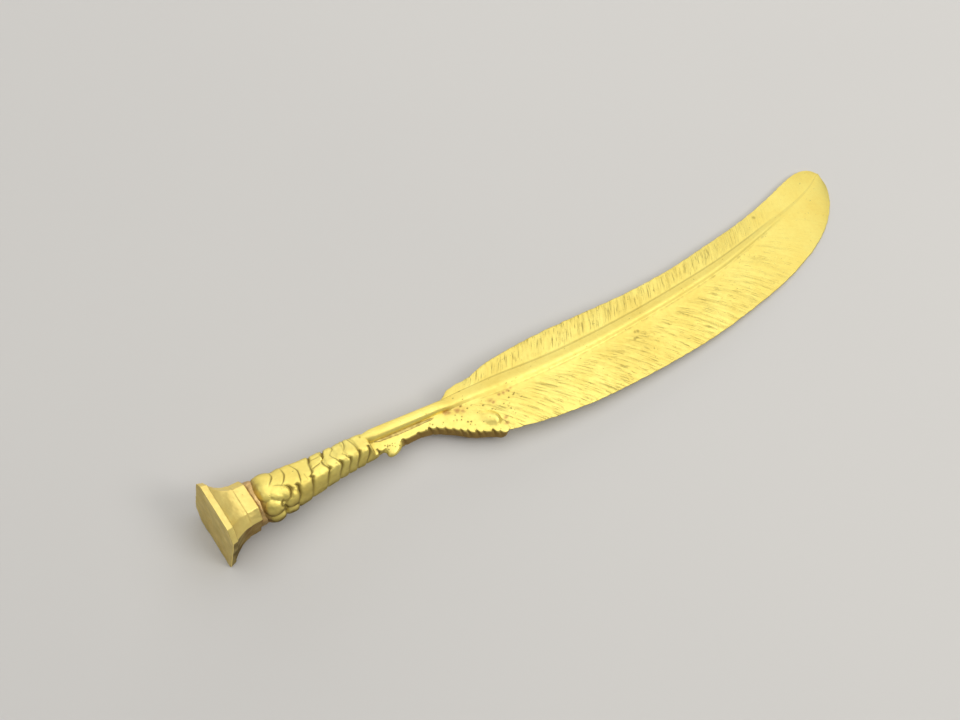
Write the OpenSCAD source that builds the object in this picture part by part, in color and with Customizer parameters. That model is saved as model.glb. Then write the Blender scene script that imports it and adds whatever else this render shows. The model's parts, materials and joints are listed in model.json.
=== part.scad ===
// Feather letter opener: a cast feather blade, a scaled grip and a square seal head.
//
// The parts are drawn on a bench frame: X runs from the seal to the tip of the feather, Z is normal
// to the vane and the mid-plane of the vane is z = 0. rest_pose() then lays the assembly on the
// table, where it stands on one corner of the seal, the belly of the vane and the tip.

/* [Feather] */
// Distance from the seal face to the tip of the feather
tip_x = 206; // [190:1:220]
// Thickness of the vane beside the rachis
vane_root_t = 1.4; // [1.0:0.1:2.0]
// Thickness of the vane at its edges
vane_edge_t = 0.5; // [0.4:0.1:1.0]
// How far the two edges of the vane droop below the rachis
vane_droop = 0.3; // [0:0.1:1.5]
// Height of the rachis above the vane where it is tallest
rachis_rise = 1; // [0.6:0.1:1.8]
// Diameter of the quill
quill_d = 3.1; // [2.8:0.1:3.6]
// Diameter of the tang, the reduced end of the quill
tang_d = 2.4; // [2.0:0.1:2.8]

/* [Grip] */
// Radius of the grip at its narrow end
grip_r = 3.7; // [3.4:0.1:4.2]
// Depth of the cuts between the scales
scale_cut = 0.45; // [0.2:0.05:0.6]
// Thickness of the tongue under the root of the vane
tongue_t = 2.8; // [2.4:0.1:4.0]
// Clearance round each part that is set into another
fit_gap = 0.05; // [0.02:0.01:0.15]

/* [Seal head] */
// Side of the square seal face
seal_side = 16; // [13:0.1:18]
// Cut across each corner of the seal face
seal_cut = 2.6; // [1:0.1:4]
// Thickness of the rim of the seal plate
rim_t = 1.4; // [1:0.1:2.5]
// Length of the flared cove behind the rim
cove_l = 4.5; // [2:0.1:5]
// Width of the eight-sided collar across its flats
collar_w = 10.9; // [9:0.1:12.5]
// Length of the collar
collar_l = 2.9; // [2:0.1:5]
// Diameter of the stud inside the neck
stud_d = 4; // [3:0.1:5]
// Diameter of the pin through the tang
pin_d = 1.5; // [1.2:0.1:1.8]

/* [Hidden] */
$fn = 48;

brass = "#c8a843";
filler = "#b5754a";

// Plan of the feather, one row per station from the root to the tip:
// [far edge x, y,  rachis x, y,  near edge x, y,  rachis width, rachis height as a fraction]
stations = [
    [57, 0.8, 57, -1.2, 57, -3.2, 3.4, 1],
    [62.2, 2.4, 62, -1.4, 62, -6.6, 3.5, 1],
    [67, 2.7, 67, -1.8, 66.6, -12.9, 3.9, 1],
    [74, 4.2, 74, -2.4, 74, -15.4, 4.2, 1],
    [89, 5, 89, -3.5, 89, -18, 3.6, 1],
    [104, 4.6, 104, -3.8, 104, -19, 3.5, 1],
    [120, 4.1, 120, -3.4, 120, -19.2, 3.3, 0.95],
    [136, 4.6, 136, -2.5, 136, -18.7, 3.2, 0.85],
    [152, 6.2, 152, -1.1, 152, -17, 2.9, 0.65],
    [168, 8.2, 168, 1.4, 168, -14.5, 2, 0.4],
    [181, 10.7, 181, 3.8, 183, -10.4, 1.4, 0.12],
    [190, 13, 191, 5.8, 193.2, -5.9, 1.2, 0],
    [196.5, 14.4, 198.3, 7.9, 200.2, -0.8, 1, 0],
    [200.8, 14.6, 202.4, 9.6, 203.8, 3.4, 0.8, 0],
    [203.3, 14, 204.5, 10.6, 205.4, 6.3, 0.6, 0],
    [204.9, 13, 205.6, 10.9, 205.9, 8.4, 0.3, 0],
    [205.7, 12, 205.95, 11, 206, 10, 0.2, 0]
];
plan_scale = tip_x / 206;
steps_per_station = 4;
near_steps = 6;
rib_steps = 8;
far_steps = 4;
// How far the rachis stands below the vane, as a part of its height above it
rib_under = 1 / 3;
// The middle of the vane thins toward its edge thickness from this station to the tip
thin_from = 10;
tip_thin = 0.85;
// Taper of the quill from the shoulder to the vane
quill_taper = 0.5;

// Grip: radius, sideways and upward place of its axis at points along X
grip_start_x = 6;
grip_end_x = 37;
grip_radius = [[6, 4.6], [7, 4.9], [9, 5.7], [11, 6], [13.5, 5.5], [17, 4.8], [21, 4.3], [28, grip_r],
    [34, grip_r - 0.1], [37, grip_r - 0.5]];
grip_side = [[7, -1.5], [12, -1.7], [20, -1.7], [28, -1.5], [37, -1.4]];
grip_height = [[7, -0.7], [12, 0], [20, 0.2], [37, 0]];
scale_x = [6, 13.5, 16.6, 19.4, 22.4, 25.4, 28.2, 30.8, 33.2, 35.4, 37.4];
// Bow of the scales, and the parts of a scale that its leading and trailing cuts take up
scale_bow = 1.1;
cut_lead = 0.12;
cut_tail = 0.55;
grip_sides = 28;
ring_step = 0.5;
// How far the section of the grip departs from a circle toward a square
squareness = 0.05;

// Seal head: place and attitude of the middle of its face, and the layers behind it
face_at = [-1.9, -1.6, 0.6];
face_tilt = 9.5;
face_yaw = 4;
face_roll = -3;
// Part of the cut that the bottom near corner keeps, and how far the rim narrows behind the face
seal_keep = 0.2;
rim_taper = 0.45;
rim_edge = 0.2;
// Steps at the two ends of the cove, and the cut corner of the collar as a part of its half width
cove_steps = 8;
cove_lip = 0.3;
cove_step = 0.15;
collar_corner = 0.42;
collar_edge = 0.25;
// Gap between the collar and the grip, and how far the ring that fills it lies inside the collar
neck_gap = 0.8;
neck_inset = 0.8;
head_l = rim_t + cove_l + collar_l;

// Quill and tang: from the shoulder at the end of the grip to the root of the vane
shoulder = [36.4, 0.25, 1.5];
quill_end = [62, -1.35, 0.4];
tang_end = [19, -1.6, 0.3];
// Parts of the length of the quill that the tang and the slot in the tongue run past the shoulder
tang_lap = 0.05;
slot_run = 0.3;
pin_x = 23.9;
pin_lean = 30;
pin_head_d = 2.2;
pin_head_t = 0.5;
pin_short = 0.2;

// Tongue: the top outline of its near side, from the grip out to the corner under the vane
tongue_top = 0.75;
tongue_edge = [[34, -2.6], [38, -3.6], [44.4, -4.2], [49, -4.4], [52.5, -5.3], [56.5, -7.7], [60.1, -10.4],
    [64.7, -12.6], [67.9, -14.4]];
tongue_tip = [[69.3, -12], [69, -9], [67, -6.6], [62, -4.6], [56, -3.4]];
tongue_far = [[56, 0.2], [46, 0.9], [34, 1.6]];
tongue_flare = 0.8;
// Low round bump at the end of the tongue, and the spur on its near side beside the grip
bump_at = [66.5, -9.6];
bump_r = 3.4;
bump_rise = 1.1;
bump_sunk = 0.5;
spur_at = [41.2, -5.6, -0.6];
spur_r = 1.5;
spur_root = [-1.2, 3.2, 0];
spur_root_r = 2.25;
// Notches between the ribs of the near side
notch_x = [45.6, 48.4, 51.2, 53.6, 55.5, 57.4, 59.2, 61, 62.9, 64.8, 66.4];
notch_d = 0.9;
notch_lean = 10;
// Outline of the slot in the end of the tongue that takes the root of the vane
slot_outline = [[56.5, 4], [56.5, -3.4], [61.8, -6.9], [66.2, -13.3], [66.4, -20], [90, -20], [90, 8]];

// Stud along the axis of the head, and its length on each side of the neck
stud_l = 15;
stud_start = 3;

// Groove beside the quill that the root filler lies in
seam_start = [37.4, -1.5];
seam_end = [54, -2.8];
seam_w = 1;
seam_tip_w = 0.4;
seam_t = 0.5;
// How far the filler in the groove stands below the top of the tongue
seam_low = 0.1;

// Attitude of the vane on the table, and the lift and shift that put the origin under the middle
rest_roll = 2.82;
rest_pitch = 1.92;
rest_lift = 7.32;
rest_shift = [-101.05, 2.27];

// ---- Curves and lofts ----

// Slope of a curve through points [x, y] at point i
function slope(p, i) =
    let (a = p[max(i - 1, 0)], b = p[min(i + 1, len(p) - 1)])
    (b[1] - a[1]) / (b[0] - a[0]);

// Index of the stretch of points that x lies in
function stretch(p, x, i = 0) = (i >= len(p) - 2 || x < p[i + 1][0]) ? i : stretch(p, x, i + 1);

// Height at x of the smooth curve through points [x, y]
function curve(p, x) =
    let (i = stretch(p, x), h = p[i + 1][0] - p[i][0], t = (x - p[i][0]) / h)
    p[i][1] * (2 * t ^ 3 - 3 * t ^ 2 + 1) + slope(p, i) * h * (t ^ 3 - 2 * t ^ 2 + t)
    + p[i + 1][1] * (3 * t ^ 2 - 2 * t ^ 3) + slope(p, i + 1) * h * (t ^ 3 - t ^ 2);

// Column k of the table of stations, smoothed, at station number t
function station(k, t) = curve([for (i = [0:len(stations) - 1]) [i, stations[i][k]]], t);

// Closed solid through rings that all have the same number of points
module loft(rings) {
    n = len(rings[0]);
    m = len(rings);
    sides = [for (k = [0:m - 2], i = [0:n - 1])
        let (a = k * n + i, b = k * n + (i + 1) % n)
        each [[a, b, b + n], [a, b + n, a + n]]];
    polyhedron(
        points = [for (r = rings) each r],
        faces = concat([[for (i = [n - 1:-1:0]) i]], sides, [[for (i = [0:n - 1]) (m - 1) * n + i]])
    );
}

// Straight round bar from a to b
module bar(a, b, d1, d2) {
    v = b - a;
    translate(a)
        rotate([0, acos(v[2] / norm(v)), atan2(v[1], v[0])])
            cylinder(h = norm(v), d1 = d1, d2 = d2);
}

// ---- Frames ----

// Lays the bench frame on the table, with the origin under the middle of the whole tool
module rest_pose() {
    translate([rest_shift[0], rest_shift[1], rest_lift])
        rotate([rest_roll, rest_pitch, 0])
            children();
}

// Frame of the seal head: X runs from the middle of its face into the grip
module head_frame() {
    translate(face_at) rotate([face_roll, face_tilt, face_yaw]) children();
}

// ---- Feather ----

// Height of the mid-surface of the vane: v runs from -1 at the near edge to 1 at the far edge
function droop(v) = -vane_droop * v ^ 2;

// Ring of the vane at station number t: its upper side from near to far, then its lower side back
function vane_ring(t) =
    let (
        far = [station(0, t), station(1, t)],
        mid = [station(2, t), station(3, t)],
        near = [station(4, t), station(5, t)],
        half_rib = station(6, t) / 2,
        rise = rachis_rise * max(station(7, t), 0),
        near_v = half_rib / norm(near - mid),
        far_v = half_rib / norm(far - mid),
        across = concat(
            [for (i = [0:near_steps - 1]) -1 + (1 - near_v) * i / near_steps],
            [for (i = [0:rib_steps]) let (c = -cos(180 * i / rib_steps)) c < 0 ? c * near_v : c * far_v],
            [for (i = [1:far_steps]) far_v + (1 - far_v) * i / far_steps]
        ),
        plan = [for (v = across) v < 0 ? mid + (mid - near) * v : mid + (far - mid) * v],
        thin = 1 - tip_thin * max(0, (t - thin_from) / (len(stations) - 1 - thin_from)),
        thick = [for (v = across) vane_edge_t + (vane_root_t - vane_edge_t) * thin * (1 - v ^ 2)],
        rib = [for (v = across)
            let (u = v < 0 ? v / near_v : v / far_v)
            abs(u) < 1 ? rise * sqrt(1 - u ^ 2) : 0],
        n = len(across)
    )
    concat(
        [for (i = [0:n - 1]) [plan_scale * plan[i][0], plan[i][1], droop(across[i]) + thick[i] / 2 + rib[i]]],
        [for (i = [n - 1:-1:0])
            [plan_scale * plan[i][0], plan[i][1], droop(across[i]) - thick[i] / 2 - rib_under * rib[i]]]
    );

module vane() {
    last = (len(stations) - 1) * steps_per_station;
    loft([for (k = [0:last]) vane_ring(k / steps_per_station)]);
}

module quill() {
    bar(shoulder, quill_end, quill_d, quill_d - quill_taper);
    translate(quill_end) sphere(d = quill_d - quill_taper);
}

module tang() {
    bar(tang_end, shoulder + tang_lap * (quill_end - shoulder), tang_d, tang_d);
}

module pin_axis() {
    translate([pin_x, curve(grip_side, pin_x), curve(grip_height, pin_x)])
        rotate([-pin_lean, 0, 0])
            children();
}

module feather_blade() {
    color(brass) rest_pose()
        difference() {
            union() {
                vane();
                quill();
                tang();
            }
            pin_axis() cylinder(h = 3 * grip_r, d = pin_d + fit_gap, center = true);
        }
}

// ---- Grip ----

// Cut between the scales at x: deepest just before each scale starts, rising to nothing behind it
function scale_depth(x) =
    let (i = stretch([for (s = scale_x) [s, 0]], x), u = (x - scale_x[i]) / (scale_x[i + 1] - scale_x[i]))
    scale_cut * (u < cut_lead ? 1 - u / cut_lead : max(0, 1 + (u - 1) / cut_tail) ^ 2);

// Ring of the grip at x: the scales bow towards the feather along the crown of the grip
function grip_ring(x) =
    [for (k = [0:grip_sides - 1])
        let (
            a = -360 * k / grip_sides,
            bowed = min(max(x - scale_bow * sin(a), scale_x[0]), scale_x[len(scale_x) - 1]),
            square = 1 + squareness * cos(4 * a),
            r = curve(grip_radius, x) * square - scale_depth(bowed)
        )
        [x, curve(grip_side, x) + r * cos(a), curve(grip_height, x) + r * sin(a)]];

module grip_body() {
    loft([for (x = [grip_start_x:ring_step:grip_end_x]) grip_ring(x)]);
}

// Tongue: two flat layers, the lower one wider where the near side flares
module tongue() {
    module layer(grow) {
        polygon(concat(
            [for (p = tongue_edge) p - [0, grow]],
            tongue_tip,
            tongue_far
        ));
    }
    translate([0, 0, tongue_top - tongue_t / 2]) linear_extrude(tongue_t / 2) layer(0);
    translate([0, 0, tongue_top - tongue_t]) linear_extrude(tongue_t / 2) layer(tongue_flare);
}

module bump() {
    intersection() {
        translate([bump_at[0], bump_at[1], tongue_top + bump_rise - bump_r]) sphere(r = bump_r);
        translate([bump_at[0] - bump_r, bump_at[1] - bump_r, tongue_top - bump_sunk]) cube(2 * bump_r);
    }
}

module spur() {
    translate(spur_at) sphere(r = spur_r);
    bar(spur_at, spur_at + spur_root, 2 * spur_r, 2 * spur_root_r);
}

// Row of notches that cross the near side of the tongue between its ribs
module notches() {
    for (x = notch_x)
        translate([x, curve(tongue_edge, x) - tongue_flare / 2, tongue_top - tongue_t - 1])
            rotate([notch_lean, 0, 0])
                cylinder(h = tongue_t + 2, d = notch_d, $fn = 16);
}

module grip() {
    color(brass) rest_pose()
        difference() {
            union() {
                grip_body();
                tongue();
                bump();
                spur();
            }
            notches();
            head_frame() rotate([0, 90, 0]) {
                cylinder(h = head_l + neck_gap, d = 2 * seal_side);
                cylinder(h = stud_start + stud_l + fit_gap, d = stud_d + fit_gap);
            }
            bar(tang_end - fit_gap * [1, 0, 0], shoulder, tang_d + fit_gap, tang_d + fit_gap);
            bar(shoulder, quill_end + slot_run * (quill_end - shoulder), quill_d + fit_gap,
                quill_d + fit_gap);
            vane_slot();
            seam_groove(fit_gap);
            pin_axis() {
                cylinder(h = 3 * grip_r, d = pin_d + fit_gap, center = true);
                translate([0, 0, grip_r - pin_head_t]) cylinder(h = grip_r, d = pin_head_d + fit_gap);
            }
        }
}

// Slot in the end of the tongue that takes the root of the vane
module vane_slot() {
    slot_t = vane_root_t + vane_droop + 2 * fit_gap;
    translate([0, 0, vane_root_t / 2 + fit_gap - slot_t])
        linear_extrude(slot_t)
            polygon(slot_outline);
}

// ---- Seal head ----

// Eight-sided ring across the axis of the head; the near bottom corner keeps only keep of its cut
function cut_square(x, half, cut, keep = 1) = [
    for (q = [3:-1:0], e = [1, 0])
        let (
            k = q == 2 ? keep * cut : cut,
            p = e == 0 ? [half, half - k] : [half - k, half],
            c = cos(90 * q),
            s = sin(90 * q)
        )
        [x, p[0] * c - p[1] * s, p[0] * s + p[1] * c]
];

module seal_head() {
    rim = seal_side / 2;
    collar = collar_w / 2;
    collar_cut = collar * collar_corner;
    cove_top = rim - rim_taper - cove_lip;
    cove = [for (i = [0:cove_steps])
        let (u = i / cove_steps, w = (1 - u) ^ 2)
        cut_square(rim_t + cove_l * u, collar + cove_step + (cove_top - collar) * w,
            collar_cut + (seal_cut - collar_cut) * w, 1 + (seal_keep - 1) * w)];
    color(brass) rest_pose() head_frame()
        difference() {
            loft(concat(
                [cut_square(0, rim - rim_edge, seal_cut, seal_keep)],
                [cut_square(rim_edge, rim, seal_cut, seal_keep)],
                [cut_square(rim_t, rim - rim_taper, seal_cut, seal_keep)],
                cove,
                [cut_square(rim_t + cove_l + cove_step, collar, collar_cut)],
                [cut_square(head_l - collar_edge, collar, collar_cut)],
                [cut_square(head_l, collar - collar_edge, collar_cut)]
            ));
            translate([stud_start - fit_gap, 0, 0]) rotate([0, 90, 0])
                cylinder(h = head_l, d = stud_d + fit_gap);
        }
}

// ---- Small parts ----

module seal_stud() {
    color(brass) rest_pose() head_frame()
        translate([stud_start, 0, 0]) rotate([0, 90, 0]) cylinder(h = stud_l, d = stud_d);
}

module tang_pin() {
    color(brass) rest_pose() pin_axis() {
        translate([0, 0, -grip_r]) cylinder(h = 2 * grip_r - pin_short, d = pin_d);
        translate([0, 0, grip_r - pin_head_t]) cylinder(h = pin_head_t, d = pin_head_d);
    }
}

module neck_solder() {
    color(filler) rest_pose() head_frame()
        translate([head_l, 0, 0]) rotate([0, 90, 0])
            difference() {
                cylinder(h = neck_gap, d = collar_w - 2 * neck_inset);
                translate([0, 0, -1]) cylinder(h = neck_gap + 2, d = stud_d + fit_gap);
            }
}

// Shallow groove between the quill and the tongue
module seam_groove(gap) {
    translate([0, 0, tongue_top - seam_t - gap])
        linear_extrude(seam_t + gap + seam_low)
            polygon([seam_start + [0, seam_w / 2 + gap], seam_start - [gap, 0],
                seam_start - [0, seam_w / 2 + gap], seam_end - [0, seam_tip_w / 2 + gap],
                seam_end + [gap, 0], seam_end + [0, seam_tip_w / 2 + gap]]);
}

module root_solder() {
    color(filler) rest_pose()
        difference() {
            translate([0, 0, -seam_low]) seam_groove(0);
            bar(shoulder, quill_end, quill_d + fit_gap, quill_d - quill_taper + fit_gap);
        }
}

feather_blade();
grip();
seal_head();
seal_stud();
tang_pin();
neck_solder();
root_solder();
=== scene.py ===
"""Visual model of the feather letter opener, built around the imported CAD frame."""
import json
import math

import bmesh
import bpy
import numpy as np
from mathutils import Matrix, Vector, noise


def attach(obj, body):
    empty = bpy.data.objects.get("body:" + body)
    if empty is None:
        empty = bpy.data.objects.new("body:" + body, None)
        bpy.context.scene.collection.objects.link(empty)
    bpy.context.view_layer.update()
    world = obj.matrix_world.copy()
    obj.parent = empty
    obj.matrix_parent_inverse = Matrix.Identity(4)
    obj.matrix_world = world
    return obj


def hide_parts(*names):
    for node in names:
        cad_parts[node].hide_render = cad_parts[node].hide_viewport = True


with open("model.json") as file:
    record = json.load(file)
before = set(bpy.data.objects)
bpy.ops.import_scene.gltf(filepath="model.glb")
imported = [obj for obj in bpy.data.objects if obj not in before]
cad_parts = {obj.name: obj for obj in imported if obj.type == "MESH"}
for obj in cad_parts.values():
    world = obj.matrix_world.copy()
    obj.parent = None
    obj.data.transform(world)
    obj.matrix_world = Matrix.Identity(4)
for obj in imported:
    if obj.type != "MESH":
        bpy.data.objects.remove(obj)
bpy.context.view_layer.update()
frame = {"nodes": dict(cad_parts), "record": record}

# ---- Bench frame: millimetres, X from seal to tip, Z normal to the vane ----

MM = 0.001
# turn of the bench axes that lays the tool on the table, in degrees
REST_ROLL = 2.82
REST_PITCH = 1.92
# middle of the seal face, and how the seal head is turned on the handle, in degrees
FACE_AT = np.array([-1.9, -1.6, 0.6])
FACE_ROLL, FACE_TILT, FACE_YAW = -3.0, 9.5, 4.0


def turn(roll, pitch, yaw):
    """Rotation matrix that turns about X, then Y, then Z, in degrees."""
    r, p, y = (math.radians(v) for v in (roll, pitch, yaw))
    full = Matrix.Rotation(y, 3, "Z") @ Matrix.Rotation(p, 3, "Y") @ Matrix.Rotation(r, 3, "X")
    return np.array(full)


REST = turn(REST_ROLL, REST_PITCH, 0)
HEAD = turn(FACE_ROLL, FACE_TILT, FACE_YAW)
seal_mount = next(m for m in frame["record"]["mounts"] if m["name"] == "seal_face")
BENCH_ORIGIN = np.array(seal_mount["pos_m"]) - REST @ FACE_AT * MM


def to_frame(points):
    """Bench points in millimetres, as points of the shared frame in metres."""
    return BENCH_ORIGIN + np.asarray(points, float) @ REST.T * MM


def head_to_bench(points):
    """Points on the axes of the seal head, X into the handle, as bench points."""
    return FACE_AT + np.asarray(points, float) @ HEAD.T


# ---- Curves, noise and meshes ----


def curve(knots, x):
    """Smooth curve through knots [(x, y), ...] at every value in x."""
    knots = np.asarray(knots, float)
    kx, ky = knots[:, 0], knots[:, 1]
    low = np.maximum(np.arange(len(kx)) - 1, 0)
    high = np.minimum(np.arange(len(kx)) + 1, len(kx) - 1)
    slope = (ky[high] - ky[low]) / (kx[high] - kx[low])
    x = np.asarray(x, float)
    i = np.clip(np.searchsorted(kx, x, side="right") - 1, 0, len(kx) - 2)
    h = kx[i + 1] - kx[i]
    t = (x - kx[i]) / h
    return (ky[i] * (2 * t**3 - 3 * t**2 + 1) + slope[i] * h * (t**3 - 2 * t**2 + t)
            + ky[i + 1] * (3 * t**2 - 2 * t**3) + slope[i + 1] * h * (t**3 - t**2))


def smoothstep(a, b, x):
    """Smooth rise from 0 at a to 1 at b."""
    t = np.clip((np.asarray(x, float) - a) / (b - a), 0, 1)
    return t * t * (3 - 2 * t)


class Streaks:
    """Smooth random field over (q, e) in millimetres, stretched along e."""

    STEP_Q, STEP_E, SPAN_Q, SPAN_E = 0.08, 0.4, 240.0, 40.0

    def __init__(self, seed, size_q, size_e):
        """Fills the field with features about size_q by size_e across."""
        rng = np.random.default_rng(seed)
        shape = int(self.SPAN_Q / self.STEP_Q), int(self.SPAN_E / self.STEP_E)
        field = np.fft.fft2(rng.normal(size=shape))
        fq = np.fft.fftfreq(shape[0], self.STEP_Q)[:, None]
        fe = np.fft.fftfreq(shape[1], self.STEP_E)[None, :]
        field *= np.exp(-2 * (np.pi * fq * size_q) ** 2 - 2 * (np.pi * fe * size_e) ** 2)
        field = np.real(np.fft.ifft2(field))
        self.field = field / field.std()

    def at(self, q, e):
        """Value of the field at (q, e), between its grid points."""
        u, v = np.asarray(q) / self.STEP_Q, np.asarray(e) / self.STEP_E
        i, j = np.floor(u).astype(int), np.floor(v).astype(int)
        a, b = u - i, v - j
        n, m = self.field.shape

        def pick(di, dj):
            return self.field[(i + di) % n, (j + dj) % m]

        return ((pick(0, 0) * (1 - a) + pick(1, 0) * a) * (1 - b)
                + (pick(0, 1) * (1 - a) + pick(1, 1) * a) * b)


def cloud(points, size, seed):
    """Perlin noise at points in millimetres, with features about size across."""
    shift = Vector((seed * 7.3, seed * 3.1, seed * 5.7))
    return np.array([noise.noise(Vector(p) / size + shift) for p in points])


def mesh_piece(name, points, faces, smooth=True):
    """New object in the shared frame from bench points in millimetres."""
    mesh = bpy.data.meshes.new(name)
    mesh.from_pydata(to_frame(points).tolist(), [], faces)
    mesh.polygons.foreach_set("use_smooth", [smooth] * len(mesh.polygons))
    mesh.update()
    piece = bpy.data.objects.new(name, mesh)
    bpy.context.scene.collection.objects.link(piece)
    return piece


def ring_faces(rings, around):
    """Faces of a closed skin through rings of the same length, with n-gon ends."""
    faces = [list(range(around))[::-1]]
    for k in range(rings - 1):
        a = k * around
        for i in range(around):
            j = (i + 1) % around
            faces.append((a + i, a + j, a + around + j, a + around + i))
    faces.append([(rings - 1) * around + i for i in range(around)])
    return faces


def paint(piece, **fields):
    """Stores one number per vertex under each name, for the materials to read."""
    for name, values in fields.items():
        layer = piece.data.attributes.new(name, "FLOAT", "POINT")
        layer.data.foreach_set("value", np.clip(values, 0, 1).astype(np.float32))


def bench_points(piece):
    """Vertices of a piece as bench points in millimetres."""
    co = np.zeros(len(piece.data.vertices) * 3)
    piece.data.vertices.foreach_get("co", co)
    return (co.reshape(-1, 3) - BENCH_ORIGIN) @ REST / MM


def set_bench_points(piece, points):
    """Moves the vertices of a piece to bench points in millimetres."""
    piece.data.vertices.foreach_set("co", to_frame(points).ravel())
    piece.data.update()


def vertex_normals(piece):
    """Unit normals of the vertices, on the bench axes."""
    out = np.zeros(len(piece.data.vertices) * 3)
    piece.data.vertices.foreach_get("normal", out)
    return out.reshape(-1, 3) @ REST


def neighbour_mean(piece, values, rounds):
    """Average of values over the neighbours of each vertex, repeated."""
    edges = np.zeros(len(piece.data.edges) * 2, int)
    piece.data.edges.foreach_get("vertices", edges)
    a, b = edges.reshape(-1, 2).T
    count = np.bincount(a, minlength=len(values)) + np.bincount(b, minlength=len(values))
    values = np.asarray(values, float)
    for _ in range(rounds):
        total = np.zeros_like(values)
        np.add.at(total, a, values[b])
        np.add.at(total, b, values[a])
        values = total / (count[:, None] if values.ndim > 1 else count)
    return values


def hollowness(piece, points, normals, rounds):
    """How far each point lies below the average of its surroundings, in millimetres."""
    return np.einsum("ij,ij->i", neighbour_mean(piece, points, rounds) - points, normals)


# ---- Materials ----


class Nodes:
    """Short calls for building one material's node tree."""

    def __init__(self, name):
        self.material = bpy.data.materials.new(name)
        self.material.use_nodes = True
        self.tree = self.material.node_tree
        self.shader = self.tree.nodes["Principled BSDF"]

    def node(self, kind, **settings):
        made = self.tree.nodes.new(kind)
        for key, value in settings.items():
            setattr(made, key, value)
        return made

    def link(self, a, b):
        self.tree.links.new(a, b)

    def position(self):
        return self.node("ShaderNodeTexCoord").outputs["Object"]

    def grain(self, scale, detail=4.0, roughness=0.5):
        """Noise over the piece; scale is in features per metre."""
        made = self.node("ShaderNodeTexNoise")
        made.inputs["Scale"].default_value = scale
        made.inputs["Detail"].default_value = detail
        made.inputs["Roughness"].default_value = roughness
        self.link(self.position(), made.inputs["Vector"])
        return made.outputs["Fac"]

    def painted(self, name):
        """Number that paint() stored on the vertices."""
        return self.node("ShaderNodeAttribute", attribute_name=name).outputs["Fac"]

    def remap(self, value, low, high, out_low=0.0, out_high=1.0):
        made = self.node("ShaderNodeMapRange")
        ends = {"From Min": low, "From Max": high, "To Min": out_low, "To Max": out_high}
        for key, number in ends.items():
            made.inputs[key].default_value = number
        self.link(value, made.inputs["Value"])
        return made.outputs["Result"]

    def maths(self, operation, a, b):
        made = self.node("ShaderNodeMath", operation=operation)
        for socket, value in zip(made.inputs, (a, b)):
            if isinstance(value, (int, float)):
                socket.default_value = value
            else:
                self.link(value, socket)
        return made.outputs[0]

    def mix(self, factor, a, b):
        made = self.node("ShaderNodeMix", data_type="RGBA")
        self.link(factor, made.inputs[0])
        for socket, value in ((made.inputs[6], a), (made.inputs[7], b)):
            if isinstance(value, tuple):
                socket.default_value = (*value, 1.0)
            else:
                self.link(value, socket)
        return made.outputs[2]

    def bump(self, height, distance, strength=1.0, after=None):
        made = self.node("ShaderNodeBump")
        made.inputs["Distance"].default_value = distance
        made.inputs["Strength"].default_value = strength
        self.link(height, made.inputs["Height"])
        if after:
            self.link(after, made.inputs["Normal"])
        return made.outputs["Normal"]


# colours of the brass: pale, warmer patches, dark for dirt in hollows and painted shade, coppery for residue
# and a brown tint in painted shade
PALE = (0.90, 0.77, 0.22)
WARM = (0.84, 0.65, 0.15)
DARK = (0.17, 0.115, 0.025)
RUST = (0.40, 0.17, 0.06)
METALLIC = 0.85
# features per metre: colour patches, fine mottling, specks, grain of the casting
PATCHES, MOTTLING, SPECKS, CASTING = 90, 900, 1500, 2600
SPECK_RANGE = (0.70, 0.76)
SPECK_INK, SCRATCH_INK = 0.5, 0.40
# bump heights in metres
CASTING_BUMP, SCRATCH_BUMP, SPECK_BUMP = 0.00003, 0.00008, 0.00006
# length in mm that the stored barb coordinates are divided by, and how much longer than wide a hair is
STRAND_SPAN = 240.0
HAIR_STRETCH = 10
HAIR_NOISE = {"Scale": 2.6, "Detail": 3.0, "Roughness": 0.6}


def hair_scratches(n):
    """Hair lines along the barbs, from the coordinates painted on the vane."""
    where = n.node("ShaderNodeCombineXYZ")
    n.link(n.maths("MULTIPLY", n.painted("strand_q"), STRAND_SPAN), where.inputs[0])
    n.link(n.maths("MULTIPLY", n.painted("strand_e"), STRAND_SPAN / HAIR_STRETCH), where.inputs[1])
    hairs = n.node("ShaderNodeTexNoise")
    for key, number in HAIR_NOISE.items():
        hairs.inputs[key].default_value = number
    n.link(where.outputs[0], hairs.inputs["Vector"])
    return n.maths("MULTIPLY", n.remap(hairs.outputs["Fac"], 0.56, 0.68), n.painted("barbs"))


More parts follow.
